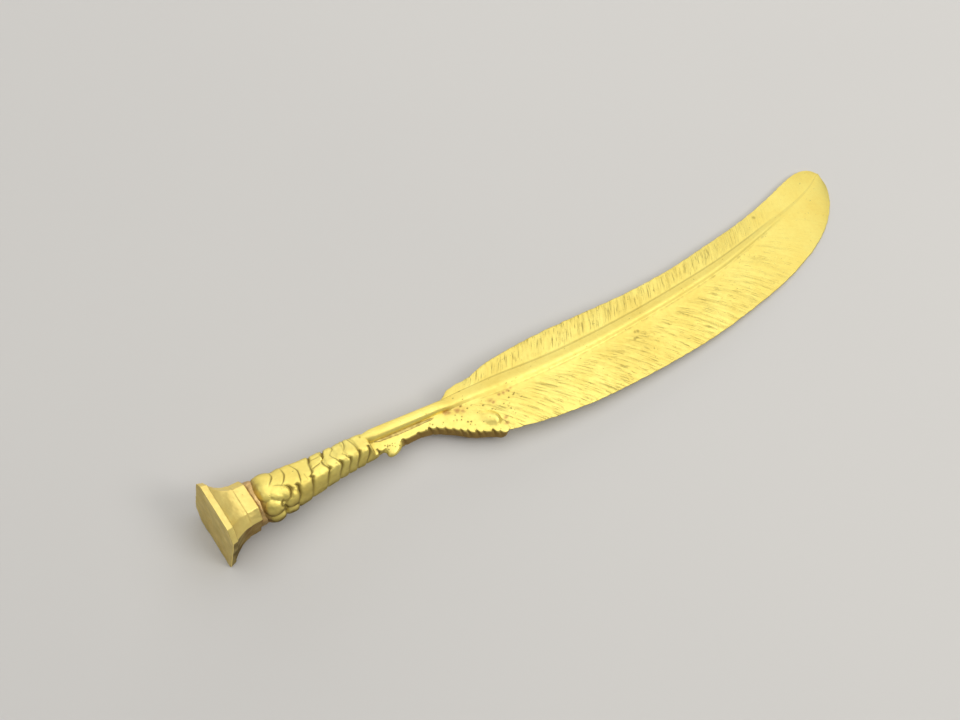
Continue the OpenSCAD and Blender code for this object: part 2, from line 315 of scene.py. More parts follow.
def brass(name, tone=PALE, warm=WARM, rough=(0.46, 0.62), strands=False):
    """Cast brass: mottled colour, darker hollows and painted shade, residue, specks and, on the vane,
    scratched barbs.
    """
    n = Nodes(name)
    n.shader.inputs["Metallic"].default_value = METALLIC
    mottle = n.remap(n.grain(PATCHES, 5, 0.6), 0.36, 0.66)
    fine = n.remap(n.grain(MOTTLING, 3, 0.6), 0.35, 0.7)
    colour = n.mix(n.maths("MULTIPLY", mottle, 0.55), tone, warm)
    colour = n.mix(n.maths("MULTIPLY", fine, 0.22), colour, warm)
    if strands:
        scratch = hair_scratches(n)
        colour = n.mix(n.maths("MULTIPLY", scratch, SCRATCH_INK), colour, DARK)
    # dark mix for dirt in hollows and for painted shade on flanks and undersides
    colour = n.mix(n.painted("hollow"), colour, DARK)
    # coppery mix for residue, and for a brown tint in some painted shade
    colour = n.mix(n.painted("stain"), colour, RUST)
    specks = n.grain(SPECKS, 2, 0.5)
    colour = n.mix(n.maths("MULTIPLY", n.remap(specks, *SPECK_RANGE), SPECK_INK), colour, DARK)
    n.link(colour, n.shader.inputs["Base Color"])

    wear = n.maths("ADD", n.maths("MULTIPLY", mottle, 0.5), n.maths("MULTIPLY", fine, 0.5))
    # dirt and painted shade also make the surface rougher
    dirt_and_shade = n.maths("MULTIPLY", n.painted("hollow"), 0.25)
    n.link(n.maths("ADD", n.remap(wear, 0.1, 0.9, *rough), dirt_and_shade), n.shader.inputs["Roughness"])

    normal = n.bump(n.grain(CASTING, 3, 0.6), CASTING_BUMP, 0.5)
    if strands:
        normal = n.bump(n.remap(scratch, 0, 1, 1.0, 0.0), SCRATCH_BUMP, 0.8, after=normal)
    normal = n.bump(n.remap(specks, *SPECK_RANGE, 1.0, 0.0), SPECK_BUMP, 0.6, after=normal)
    n.link(normal, n.shader.inputs["Normal"])
    return n.material


def finish_piece(piece, material, node):
    """Gives a piece its material and its place among the CAD nodes."""
    piece.data.materials.clear()
    piece.data.materials.append(material)
    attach(piece, "root")
    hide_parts(node)


# ---- Feather ----

# the round quill: its axis as [x, y, z] at both ends, and where it turns into the vane
QUILL_LINE = np.array([[36.4, 0.25, 1.5], [62.0, -1.35, 0.4]])
QUILL_R, QUILL_TAPER, QUILL_STEP = 1.5, 0.07, 0.5
QUILL_START, ROOT_X, MERGE_X = 35.0, 56.0, 60.5
NOSE_START, NOSE_END, NOSE_R = 35.2, 38.6, 0.66
# [far x, y, rachis x, y, near x, y, rachis width, rachis height as a fraction]
STATIONS = np.array([
    [56, 1.1, 56, -1.15, 56, -3.1, 3.4, 1],
    [62.2, 2.5, 62, -1.4, 62, -6.6, 3.5, 1],
    [67, 2.7, 67, -1.8, 66.6, -12.9, 3.9, 1],
    [74, 4.2, 74, -2.4, 74, -15.4, 4.2, 1],
    [89, 5, 89, -3.5, 89, -18, 3.6, 1],
    [104, 4.6, 104, -3.8, 104, -19, 3.5, 1],
    [120, 4.1, 120, -3.4, 120, -19.2, 3.3, 1],
    [136, 4.6, 136, -2.5, 136, -18.7, 3.2, 0.95],
    [152, 6.2, 152, -1.1, 152, -17, 2.9, 0.85],
    [168, 8.2, 168, 1.4, 168, -14.5, 2.2, 0.6],
    [181, 10.7, 181, 3.8, 183, -10.4, 1.8, 0.3],
    [190, 13, 191, 5.8, 193.2, -5.9, 1.4, 0],
    [196.5, 14.4, 198.3, 7.9, 200.2, -0.8, 1, 0],
    [200.8, 14.6, 202.4, 9.6, 203.8, 3.4, 0.8, 0],
    [203.3, 14, 204.5, 10.6, 205.4, 6.3, 0.6, 0],
    [204.9, 13, 205.6, 10.9, 205.9, 8.4, 0.3, 0],
    [205.7, 12, 205.95, 11, 206, 10, 0.2, 0],
])
VANE_ROOT_T, VANE_EDGE_T, VANE_DROOP = 1.4, 0.5, 0.3
# the vane thins from this station to the tip, by this share
THIN_FROM, TIP_THIN = 10, 0.85
RACHIS_RISE, CREST_AT = 0.66, -0.3
RING_STEP = 0.33
# points around a ring on the near vane, rachis and far vane
TOP_CELLS = (62, 20, 24)
UNDER_CELLS = (36, 8, 14)
# angle on the round quill, away from its top and from its bottom, of each place on a ring
TOP_ARC = [(-2, -110), (-1, -75), (1, 75), (2, 110)]
UNDER_ARC = [(-2, -70), (-1, -50), (1, 50), (2, 70)]
# barbs: seed, width and length in mm of the fine cuts, the waves and the deep splits
FINE_CUTS, WAVES, SPLITS = (3, 0.13, 2.2), (5, 0.38, 4.0), (8, 0.15, 3.2)
FINE_DEPTH, WAVE_DEPTH, FAR_WAVE_DEPTH, SPLIT_DEPTH, SPLIT_FROM = 0.017, 0.011, 0.005, 0.085, 0.95
FIELD_START, FAR_SHIFT, UNDER_SHIFT = 20, 20, 9
# run along the rachis, in mm, where the barbs begin and where they wear away, and how far they wear
BARBS_FROM, WEAR_FROM, TIP_WEAR = (3, 12), (96, 130), 0.86
# uneven casting, nicks in the edges and dirt beside the rachis
UNEVEN, UNEVEN_DEPTH = (12, 5, 5), 0.05
NICKS, NICK_DEPTH = (15, 0.5, 8), 0.05
FOOT_DIRT = (21, 0.4, 3)


def station(column, t):
    """One column of STATIONS at every station number in t."""
    knots = np.stack([np.arange(len(STATIONS)), STATIONS[:, column]], 1)
    return curve(knots, t)


def barb_root(e, near):
    """How far along the rachis, in mm, a barb has run by the time it is e from it."""
    if near:
        return 0.75 * e + 6.5 * (1 - np.exp(-e / 5))
    return 0.6 * e + 0.9 * (1 - np.exp(-e / 1.5))


def ring_places():
    """Each point's place on a ring, and 1 on top or -1 underneath.

    Places run from -2, the near edge, to 2, the far edge; the rachis is between -1 and 1.
    """
    near, rib, far = TOP_CELLS
    top = np.concatenate([np.linspace(-2, -1, near, endpoint=False),
                          np.linspace(-1, 1, rib, endpoint=False),
                          np.linspace(1, 2, far + 1)])
    near, rib, far = UNDER_CELLS
    under = np.concatenate([np.linspace(2, 1, far, endpoint=False)[1:],
                            np.linspace(1, -1, rib, endpoint=False),
                            np.linspace(-1, -2, near, endpoint=False)])
    return np.concatenate([top, under]), np.concatenate([np.ones(len(top)), -np.ones(len(under))])


def quill_rings(x, place, side):
    """Round rings of the quill at every x."""
    angle = np.radians(np.where(side > 0, 90 - curve(TOP_ARC, place), 270 + curve(UNDER_ARC, place)))
    (x0, y0, z0), (x1, y1, z1) = QUILL_LINE
    f = (x - x0) / (x1 - x0)
    nose = NOSE_R + (1 - NOSE_R) * smoothstep(NOSE_START, NOSE_END, x) ** 0.7
    r = (QUILL_R * (1.05 - QUILL_TAPER * f) * nose)[:, None]
    y, z = (y0 + f * (y1 - y0))[:, None], (z0 + f * (z1 - z0))[:, None]
    return np.stack([np.repeat(x[:, None], len(place), 1), y + r * np.cos(angle), z + r * np.sin(angle)], -1)


def along_rachis():
    """Station numbers at even steps along the rachis, and the run in mm at each."""
    fine = np.linspace(0, len(STATIONS) - 1, 4000)
    steps = np.hypot(np.diff(station(2, fine)), np.diff(station(3, fine)))
    along = np.concatenate([[0], np.cumsum(steps)])
    run = np.linspace(0, along[-1], int(along[-1] / RING_STEP))
    return np.interp(run, along, fine), run


class Vane:
    """Rings of the vane and its rachis, with the barbs cut into them."""

    def __init__(self, place, side):
        t, run = along_rachis()
        self.place, self.side = place[None, :], side
        self.rachis_x = station(2, t)
        self.run = np.repeat(run[:, None], len(place), 1)
        self.far, self.mid, self.near = (
            np.stack([station(c, t), station(c + 1, t)], -1)[:, None] for c in (0, 2, 4))
        self.shape(t)
        self.is_near = self.across < 0
        self.lay_barbs()

    def shape(self, t):
        """Plan and height of every point before the barbs are cut."""
        z, near, mid, far = self.place, self.near, self.mid, self.far
        near_w = np.linalg.norm(near - mid, axis=-1)
        far_w = np.linalg.norm(far - mid, axis=-1)
        half_rib = station(6, t)[:, None] / 2
        near_rib, far_rib = half_rib / near_w, half_rib / far_w
        u = np.clip(z, -1, 1)
        v = np.where(u < 0, u * near_rib, u * far_rib)
        v = np.where(z > 1, far_rib + (z - 1) * (1 - far_rib), v)
        v = np.where(z < -1, -near_rib + (z + 1) * (1 - near_rib), v)
        v3 = v[..., None]
        self.plan = np.where(v3 < 0, mid + (mid - near) * v3, mid + (far - mid) * v3)
        self.across = v
        self.width = np.where(v < 0, near_w, far_w)
        self.from_rachis = np.where(v < 0, -v * near_w, v * far_w)
        thin = 1 - TIP_THIN * smoothstep(THIN_FROM, len(STATIONS) - 1, t)[:, None]
        thick = VANE_EDGE_T + (VANE_ROOT_T - VANE_EDGE_T) * (1 - v**2) ** 0.8 * thin
        crest = np.where(u < CREST_AT, (1 + u) / (1 + CREST_AT), (1 - u) / (1 - CREST_AT))
        rounded = (crest - np.clip(crest - 0.6, 0, 1) ** 2 / 0.8) / 0.8
        rise = RACHIS_RISE * np.maximum(station(7, t), 0)[:, None]
        rib = np.where(np.abs(z) < 1, rise * rounded, 0)
        self.height = -VANE_DROOP * v**2 + self.side * thick / 2 + np.where(self.side > 0, rib, -rib / 3)

    def lay_barbs(self):
        """Coordinates across and along the barbs, and the depths of the cuts there."""
        e, near, z = self.from_rachis, self.is_near, self.place
        self.q = self.run - np.where(near, barb_root(e, True), barb_root(e, False)) + FIELD_START
        # each face of the vane reads its own part of the random fields
        self.e = e + (np.where(near, 0, FAR_SHIFT) + np.where(self.side > 0, 0, UNDER_SHIFT))
        self.to_edge = np.minimum(np.abs(np.abs(z) - 2) * self.width, 3)
        worn = 1 - TIP_WEAR * smoothstep(*WEAR_FROM, self.run)
        self.barbed = smoothstep(1.0, 1.25, np.abs(z)) * worn * smoothstep(*BARBS_FROM, self.run)
        self.fine = Streaks(*FINE_CUTS).at(self.q, self.e)
        self.wave = Streaks(*WAVES).at(self.q, self.e)
        split = Streaks(*SPLITS).at(self.q, self.e)
        deep = np.clip(split - SPLIT_FROM, 0, 1.2) * (0.35 + 0.65 * smoothstep(-0.5, 1, self.wave))
        self.deep = deep * np.where(near, 1.0, 0.6)

    def relief(self):
        """Height of the barbs and of the uneven casting over the smooth vane."""
        wave_depth = np.where(self.is_near, WAVE_DEPTH, FAR_WAVE_DEPTH)
        cuts = FINE_DEPTH * self.fine + wave_depth * self.wave - SPLIT_DEPTH * self.deep
        relief = self.barbed * np.where(self.side > 0, 1.0, 0.8) * cuts
        uneven = UNEVEN_DEPTH * Streaks(*UNEVEN).at(self.run, self.e)
        relief = relief + uneven * smoothstep(1.0, 1.4, np.abs(self.place))
        return relief * smoothstep(0.0, 0.5, self.to_edge)

    def nicks(self):
        """Small moves of the edges, in the plan."""
        nick = Streaks(*NICKS).at(self.run, self.e + 3) * NICK_DEPTH * (1 - smoothstep(0, 1.2, self.to_edge))
        away = np.where(self.is_near[..., None], self.near - self.mid, self.far - self.mid)
        away = away / np.maximum(np.linalg.norm(away, axis=-1, keepdims=True), 1e-6)
        return away * nick[..., None]

    def points(self):
        """Finished points of the rings."""
        height = self.height + self.side * self.relief()
        return np.concatenate([self.plan + self.nicks(), height[..., None]], -1)

    def dirt_and_shade(self):
        """How dark the cuts and the foot of the rachis are, with painted shade on its far flank."""
        z, run, on_top = self.place, self.run, self.side > 0
        dark = 0.34 * self.deep - 0.035 * self.wave + 0.06 * np.abs(self.fine) - 0.03
        dark = self.barbed * np.clip(dark + np.where(self.is_near, 0, 0.05), 0, 1)
        foot = np.exp(-((np.abs(z) - 1.02) / np.where(z > 0, 0.05, 0.018)) ** 2)
        broken = 1.1 + 0.6 * Streaks(*FOOT_DIRT).at(run, self.e)
        foot = foot * np.where(z > 0, 0.42, 0.15 * smoothstep(6, 14, run) * broken)
        dark = np.maximum(dark, foot * (1 - smoothstep(110, 130, run)) * on_top)
        # painted shade on the far flank of the rachis
        far_flank_shade = smoothstep(CREST_AT, CREST_AT + 0.3, z) * (np.abs(z) < 1) * on_top
        return np.maximum(dark, 0.10 * far_flank_shade * smoothstep(4, 12, run))


def dents(points, places, radius, depth, facing):
    """Pulls the surface down inside small round dents; returns how dark each point gets."""
    mark = np.zeros(len(points))
    for x, y, size in places:
        d = np.hypot(points[:, 0] - x, points[:, 1] - y) / (radius * size)
        inside = np.exp(-d**4) * (facing > 0)
        points[:, 2] -= inside * depth * size
        mark = np.maximum(mark, inside)
    return mark


def residue(points, wobble, facing):
    """How coppery each point is around the red marks."""
    stain = np.zeros(len(points))
    for x, y, size in RED_MARKS:
        d = np.hypot(points[:, 0] - x, (points[:, 1] - y) * 1.4) / size
        stain = np.maximum(stain, np.exp(-(d + wobble * 0.8) ** 2) * facing)
    return stain * RESIDUE_INK


# casting pits and marks: x, y and size
rng = np.random.default_rng(11)
ROOT_PITS = [(60 + 18 * a, -9 + 10 * b - 4 * a, 0.35 + 0.5 * c) for a, b, c in rng.random((30, 3))]
VANE_PITS = [(78 + 105 * a, -17 + 21 * b, 0.2 + 0.25 * c) for a, b, c in rng.random((24, 3))]
TONGUE_PITS = [(39 + 26 * a, -3.2 - 5 * b * a - 1.2 * b, 0.35 + 0.4 * c) for a, b, c in rng.random((30, 3))]
CAST_MARKS = [(115.6, -7.3, 0.9), (114.8, -7.1, 0.7), (113.5, -8.8, 0.8), (114.3, -8.7, 0.6),
              (173.6, 7.4, 1.0)]
RED_MARKS = [(57.2, -3.0, 0.9), (59.9, -3.6, 1.0), (61.0, -4.4, 0.7), (68.4, -5.5, 0.7), (69.0, -6.2, 0.5),
             (71.4, -5.1, 0.5), (72.6, -5.2, 0.45), (73.8, -5.15, 0.5), (75.0, -5.0, 0.45),
             (69.6, -11.2, 0.6), (69.2, -12.4, 0.6)]
RESIDUE_INK = 0.75
# radius and depth of a pit or mark of size 1
ROOT_DENT, VANE_DENT, CAST_DENT, TONGUE_DENT = (0.30, 0.12), (0.28, 0.06), (0.55, 0.08), (0.28, 0.10)


def make_feather():
    """Quill, rachis and vane as one closed skin."""
    place, side = ring_places()
    vane = Vane(place, side)
    quill_x = np.arange(QUILL_START, ROOT_X - QUILL_STEP, QUILL_STEP)
    merge = smoothstep(ROOT_X, MERGE_X, vane.rachis_x)[:, None, None]
    blade = quill_rings(vane.rachis_x, place, side) * (1 - merge) + vane.points() * merge
    grid = np.concatenate([quill_rings(quill_x, place, side), blade])
    plain = np.zeros((len(quill_x), len(place)))
    # darkness of the barb cuts and the rachis foot, with painted shade on the rachis's far flank
    hollow, q, e, barbs = (np.concatenate([plain, field]).ravel()
                           for field in (vane.dirt_and_shade(), vane.q, vane.e, vane.barbed))

    points = grid.reshape(-1, 3)
    is_top = np.tile(side > 0, len(grid)).astype(float)
    mark = dents(points, ROOT_PITS, *ROOT_DENT, is_top)
    mark = np.maximum(mark, 0.6 * dents(points, VANE_PITS, *VANE_DENT, is_top))
    mark = np.maximum(mark, 0.55 * dents(points, CAST_MARKS, *CAST_DENT, is_top))
    wobble = cloud(points * [1, 1, 0], 0.9, 3)
    piece = mesh_piece("feather", points, ring_faces(len(grid), len(place)))
    paint(piece, hollow=hollow + mark * 0.85, stain=residue(points, wobble, is_top), barbs=barbs,
          strand_q=q / STRAND_SPAN, strand_e=e / STRAND_SPAN)
    finish_piece(piece, brass("feather_brass", strands=True), "feather_blade")


make_feather()

# ---- Grip ----

GRIP_START, GRIP_END, GRIP_STEP, GRIP_TURN = 8.2, 46.0, 0.12, 2.0
# angles around the grip run from here over the top and back
FIRST_ANGLE = -70
# the grip by x: radius, and the place of its axis
GRIP_RADIUS = [(7, 4.9), (9, 5.55), (11, 5.75), (13.5, 5.35), (17, 4.7), (21, 4.2), (28, 3.65),
               (34, 3.5), (36.5, 3.2), (39, 2.5), (42, 1.9), (46, 1.2)]
GRIP_SIDE = [(7, -1.5), (12, -1.7), (20, -1.7), (28, -1.5), (35, -1.4), (39, -2.0), (46, -3.3)]
GRIP_HEIGHT = [(7, -0.7), (12, 0), (20, 0.2), (35, 0), (39, -0.5), (46, -0.9)]
# the shank is a rounded square with one side facing this angle; the square begins and ends at these x
SQUARE_FACE, SQUARE_POWER, SQUARE_SIZE = 67.5, 3.2, 0.95
SQUARE_FROM, SQUARE_TO = (13, 18), (36, 40)
# height of the flat roof over the quill's mouth, by x
ROOF_FROM, ROOF_HIGH, ROOF_LOW = 35.5, 4.2, 0.7
VOXEL = 0.15
CUT_DEPTH, CUT_ALONG_DEPTH = 1.35, 1.8
LIP, LIP_RUN, TROUGH, TROUGH_RUN = 0.22, 1.2, 0.10, 0.7
# carved lines of the scaled shank: half width, then [angle around the grip, x, strength]
CARVED = [
    (0.18, [(-60, 12.2, 0.4), (33, 12.9, 0.2), (53, 13.2, 0.7), (65, 13.0, 0.9), (78, 12.1, 0.7),
            (86, 11.4, 0)]),
    (0.18, [(-60, 15, 0.4), (34, 15.7, 0.2), (52, 15.8, 0.7), (66, 15.8, 0.9), (84, 15.0, 1.0),
            (92, 14.2, 0.5), (96, 13.6, 0)]),
    (0.18, [(-60, 17.6, 0.4), (34, 17.9, 0.3), (52, 18.4, 0.8), (68, 18.8, 1.0), (101, 18.4, 1.0),
            (110, 18.1, 0.4), (114, 18, 0)]),
    (0.14, [(86, 19.7, 0), (92, 19.7, 0.35), (110, 19.8, 0.35), (114, 19.8, 0)]),
    (0.24, [(-60, 22.3, 1), (20, 22.5, 1.8), (50, 22.1, 1.8), (60, 21.8, 0.8), (81, 21.6, 1.0),
            (98, 21.4, 1.1), (105, 20.8, 0.9), (112, 20.6, 0)]),
    (0.26, [(-60, 25.6, 1), (20, 25.9, 2.2), (58, 25.1, 2.2), (68, 24.8, 0.6), (83, 24.5, 1.0),
            (96, 24.7, 0.9), (106, 25.2, 0.9), (112, 25.4, 0)]),
    (0.16, [(-60, 27.9, 0.6), (34, 28.2, 0.9), (46, 28.1, 0.9), (58, 27.4, 0.5), (69, 26.9, 0.7),
            (84, 27.2, 0.9), (94, 27.6, 0.9), (104, 27.9, 0.9), (110, 28.2, 0)]),
    (0.17, [(-60, 30.8, 0.6), (35, 31.1, 0.9), (54, 30.9, 0.9), (72, 30.4, 0.8), (80, 30.0, 0.2),
            (88, 29.5, 0.6), (98, 30, 0.7), (108, 30.2, 0.8), (113, 30.5, 0)]),
    (0.20, [(-60, 32.2, 0.5), (36, 32.4, 0.6), (65, 32.8, 0.7), (90, 33.1, 0.8), (104, 33.0, 0.9),
            (112, 33.1, 0)]),
    (0.34, [(92, 14.6, 0), (97, 15.0, 0.9), (104, 15.4, 1.3), (114, 15.5, 1.4), (122, 15.2, 1.2),
            (132, 14.7, 0.7), (138, 13.6, 0.5), (166, 13.1, 0.5), (230, 12.6, 0.5), (290, 12.4, 0.6)]),
    (0.30, [(122, 13.2, 0), (128, 12.9, 0.9), (138, 12.5, 1.0), (147, 13.0, 0.9), (168, 13.0, 0.8),
            (176, 13, 0)]),
    (0.34, [(102, 16.8, 0), (107, 17.1, 1.2), (113, 17.4, 1.4), (126, 17.2, 1.2), (145, 17.1, 0.9),
            (168, 16.3, 0.7), (230, 15.9, 0.7), (290, 15.2, 0.6)]),
    (0.33, [(101, 20.5, 0), (106, 20.8, 1.2), (112, 21.1, 1.5), (119, 20.8, 1.2), (130, 20.6, 1.0),
            (156, 20.3, 0.8), (200, 19.6, 0.7), (290, 17.8, 0.7)]),
    (0.30, [(104, 25.1, 0.3), (110, 25.3, 1.3), (116, 25.4, 1.4), (124, 24.9, 1.1), (152, 24.3, 0.9),
            (200, 23.6, 0.7), (290, 22.4, 1)]),
    (0.30, [(100, 27.9, 0.2), (106, 28.1, 1.3), (114, 28.4, 1.5), (127, 28.3, 1.2), (152, 27.6, 0.9),
            (200, 27.0, 0.7), (290, 25.6, 1)]),
    (0.27, [(104, 30.2, 0.3), (110, 30.4, 1.0), (116, 30.7, 1.3), (130, 30.5, 1.1), (150, 30.0, 0.9),
            (200, 29.4, 0.7), (290, 27.9, 0.6)]),
    (0.30, [(99, 33.0, 0.3), (106, 33.2, 1.1), (115, 33.2, 1.4), (140, 32.5, 1.1), (170, 32, 0.9),
            (290, 30.8, 0.6)]),
    (0.30, [(98, 35.5, 0), (103, 35.7, 1.2), (112, 35.8, 1.4), (137, 35.4, 1.2), (168, 34.7, 0.9),
            (290, 32.2, 0.5)]),
    (0.30, [(112, 36.8, 0), (122, 37.1, 1.3), (148, 37.7, 1.6), (171, 37.9, 1.2), (200, 37.8, 0.4),
            (220, 37.6, 0)]),
]
# carved lines that run along the grip: half width, then [x, angle, strength]
CARVED_ALONG = [
    (0.16, [(21.4, 87, 0), (21.9, 86, 0.8), (23.8, 81, 0.9), (24.3, 78, 0)]),
    (0.16, [(22.2, 50, 0), (22.8, 50, 0.6), (24.4, 52, 0.6), (24.9, 54, 0)]),
    (0.15, [(12.4, 84, 0), (13.1, 87, 0.7), (14.2, 94, 0.8), (14.7, 102, 0)]),
]
# knuckles at the foot of the shank: x, angle, half length, half angle, height, degrees per mm of lean
KNUCKLES = [
    (10.8, 58, 3.3, 58, 0.80, 0), (14.2, 56, 2.1, 46, 0.28, -2), (13.1, 107, 2.6, 25, 0.85, 3.5),
    (11.0, 135, 2.3, 25, 0.66, 0), (15.0, 141, 1.9, 24, 0.40, 0), (11.2, 176, 1.9, 21, 0.75, 0),
    (14.4, 184, 1.9, 20, 0.55, 0), (11.0, 220, 2.0, 24, 0.7, 0), (14.4, 226, 1.9, 22, 0.55, 0),
    (11.0, 264, 2.0, 22, 0.7, 0), (14.4, 266, 1.9, 20, 0.55, 0), (10.8, -40, 2.2, 28, 0.8, 0),
    (14.4, -30, 1.8, 30, 0.6, 0),
]


def carving(x, a, radius):
    """Height of the carved lines over the grip at x and angle a, and how deep in a line it is."""
    height, ink = np.zeros_like(x), np.zeros_like(x)
    for width, knots in CARVED:
        k = np.array(knots, float)
        d = x - curve(k[:, :2], np.clip(a, k[0, 0], k[-1, 0]))
        s = np.interp(a, k[:, 0], k[:, 2])
        lip = LIP * np.exp(np.minimum(d, 0) / LIP_RUN)
        trough = -TROUGH * np.exp(-np.maximum(d, 0) / TROUGH_RUN)
        line = np.exp(-(d / width) ** 2)
        height += np.minimum(s, 1) * np.where(d < 0, lip, trough) - s * CUT_DEPTH * width * line
        ink = np.maximum(ink, np.minimum(s, 1.2) * line)
    for width, knots in CARVED_ALONG:
        k = np.array(knots, float)
        d = (a - curve(k[:, :2], np.clip(x, k[0, 0], k[-1, 0]))) * np.pi / 180 * radius
        s = np.interp(x, k[:, 0], k[:, 2])
        line = s * np.exp(-(d / width) ** 2)
        height -= CUT_ALONG_DEPTH * width * line
        ink = np.maximum(ink, line)
    return height, ink


def knuckles(x, a):
    """Height of the knuckles over the grip at x and angle a."""
    height = np.zeros_like(x)
    for cx, ca, lx, la, rise, lean in KNUCKLES:
        rho = ((x - cx) / lx) ** 2 + ((a - ca - lean * (x - cx)) / la) ** 2
        height = np.maximum(height, rise * np.sqrt(np.clip(1 - rho, 0, 1)))
    return height


def around_grip(points):
    """Distance from the axis of the grip and angle around it, for bench points."""
    x = np.clip(points[:, 0], GRIP_START, GRIP_END)
    dy = points[:, 1] - curve(GRIP_SIDE, x)
    dz = points[:, 2] - curve(GRIP_HEIGHT, x)
    a = np.degrees(np.arctan2(dz, dy))
    return np.hypot(dy, dz), np.where(a < FIRST_ANGLE, a + 360, a)


def grip_body():
    """Skin of the grip, as rings along X."""
    xs = np.arange(GRIP_START, GRIP_END + 0.01, GRIP_STEP)
    angles = np.arange(FIRST_ANGLE, FIRST_ANGLE + 360, GRIP_TURN)
    x, a = np.meshgrid(xs, angles, indexing="ij")
    radius = curve(GRIP_RADIUS, x)
    u = np.radians(a - SQUARE_FACE)
    norm = (np.abs(np.cos(u)) ** SQUARE_POWER + np.abs(np.sin(u)) ** SQUARE_POWER) ** (1 / SQUARE_POWER)
    squareness = smoothstep(*SQUARE_FROM, x) * (1 - smoothstep(*SQUARE_TO, x))
    section = 1 + (SQUARE_SIZE / norm - 1) * squareness
    cut, _ = carving(x, a, radius)
    fade = 1 - smoothstep(38.2, 39.5, x)
    foot = 1 - smoothstep(12.5, 16.5, x)
    blunt = 1 - 0.10 * (1 - smoothstep(GRIP_START, GRIP_START + 1.2, x))
    r = (radius * section - 0.12 - 0.48 * foot) * blunt + knuckles(x, a) + cut * fade
    y = curve(GRIP_SIDE, x) + r * np.cos(np.radians(a))
    z = curve(GRIP_HEIGHT, x) + r * np.sin(np.radians(a))
    roof = ROOF_HIGH - (ROOF_HIGH - ROOF_LOW) * smoothstep(35.9, 36.8, x)
    z = np.where(x > ROOF_FROM, np.minimum(z, roof), z)
    return np.stack([x, y, z], -1).reshape(-1, 3), len(xs), len(angles)


# the tongue in plan: its near edge with the ribs, and its far edge under the vane
TONGUE_EDGE = [(34, -2.6), (38, -3.6), (44.4, -4.2), (49, -4.4), (52.5, -5.3), (56.5, -7.7),
               (60.1, -10.4), (64.7, -12.6), (67.6, -14.3), (69.2, -14.0)]
TONGUE_FAR = [(34, 0.5), (46, 0.1), (55, -1.0), (58, -2.2), (62, -3.8), (66, -5.8), (68, -8),
              (69, -11), (69.4, -12.8)]
TONGUE_START, TONGUE_STEP = 34, 0.12
TONGUE_TOP, TONGUE_LOW, TONGUE_THIN, TONGUE_FLARE = 0.75, -2.0, -0.5, 0.8
UNDER_VANE = -0.7
# points across the top, down the near side and under the tongue
TONGUE_CELLS = (44, 25, 15)
RIB_CUTS = [44.2, 48.3, 51.3, 52.9, 54.7, 56.4, 57.9, 59.3, 61.2, 62.6, 64.9, 66.3]
RIB_DEPTH, RIB_WIDTH, RIB_TOP_WIDTH, RIB_LEAN = 0.75, 0.36, 0.26, 0.7
MOUND_AT, MOUND_LEAN, MOUND_HEIGHT = (66.7, -9.6), -38, 1.0
# the mound's reach toward the tip and toward the grip, and its half width
MOUND_TIP, MOUND_TAIL, MOUND_HALF = 2.3, 4.4, 2.5


def mound(x, y):
    """Low oval swelling at the end of the tongue, with a steep edge toward the feather."""
    c, s = math.cos(math.radians(MOUND_LEAN)), math.sin(math.radians(MOUND_LEAN))
    u = (x - MOUND_AT[0]) * c + (y - MOUND_AT[1]) * s
    v = -(x - MOUND_AT[0]) * s + (y - MOUND_AT[1]) * c
    rho = np.where(u > 0, (u / MOUND_TIP) ** 4, (u / MOUND_TAIL) ** 2) + (v / MOUND_HALF) ** 2
    return MOUND_HEIGHT * np.clip(1 - rho, 0, 1) ** 1.7


def rib_cuts(x, down, width):
    """Sum of the cuts between the ribs at x, as they lean on the way down the near side."""
    total = 0
    for at in RIB_CUTS:
        strength = 0.85 + 0.35 * math.sin(7 * at)
        total = total + strength * np.exp(-((x - at - RIB_LEAN * down) / width) ** 2)
    return total


def tongue_ring(x, near, far):
    """One ring of the tongue: across its top, down the ribbed near side and back underneath."""
    on_top, on_side, on_under = TONGUE_CELLS
    end = smoothstep(69.3, 66.5, x)
    over = smoothstep(54, 58, x)
    low = TONGUE_THIN + (TONGUE_LOW - TONGUE_THIN) * (0.25 + 0.75 * end)

    across = np.linspace(0, 1, on_top) ** 1.2
    notch = RIB_DEPTH * rib_cuts(x, 0, RIB_TOP_WIDTH) * (0.35 + 0.65 * smoothstep(47, 52, x))
    top_y = near + notch + (far - near - notch) * across
    sunk = 0.35 * over * smoothstep(0.55, 1.0, across) + 0.14 * (1 - across) ** 8
    top_z = TONGUE_TOP - sunk - 0.25 * (1 - end) + mound(x, top_y)

    down = np.linspace(0, 1, on_side + 1)[1:]
    bulge = TONGUE_FLARE * end * np.sin(down * math.pi * 0.62) * smoothstep(36, 42, x)
    cut = rib_cuts(x, down, RIB_WIDTH) * RIB_DEPTH * (1 - down) ** 0.6
    side_y = near - bulge + cut * smoothstep(43, 44, x)
    side_z = TONGUE_TOP - 0.14 + (low - TONGUE_TOP + 0.14) * down

    under = np.linspace(0, 1, on_under + 1)[1:]
    under_y = side_y[-1] + (far - side_y[-1]) * under
    under_z = low + (UNDER_VANE - low) * over * under**2 * 0.8
    return np.concatenate([np.stack([np.full(on_top, x), top_y, top_z], 1)[::-1],
                           np.stack([np.full(on_side, x), side_y, side_z], 1),
                           np.stack([np.full(on_under, x), under_y, under_z], 1)])


def tongue():
    """Skin of the flat tongue, as rings along X."""
    xs = np.concatenate([np.arange(TONGUE_START, 68.9, TONGUE_STEP), [68.95, 69.1, 69.2]])
    near, far = curve(TONGUE_EDGE, xs), curve(TONGUE_FAR, xs)
    far = np.maximum(far, near + 0.25)
    rings = [tongue_ring(*row) for row in zip(xs, near, far)]
    return np.concatenate(rings), len(rings), sum(TONGUE_CELLS)


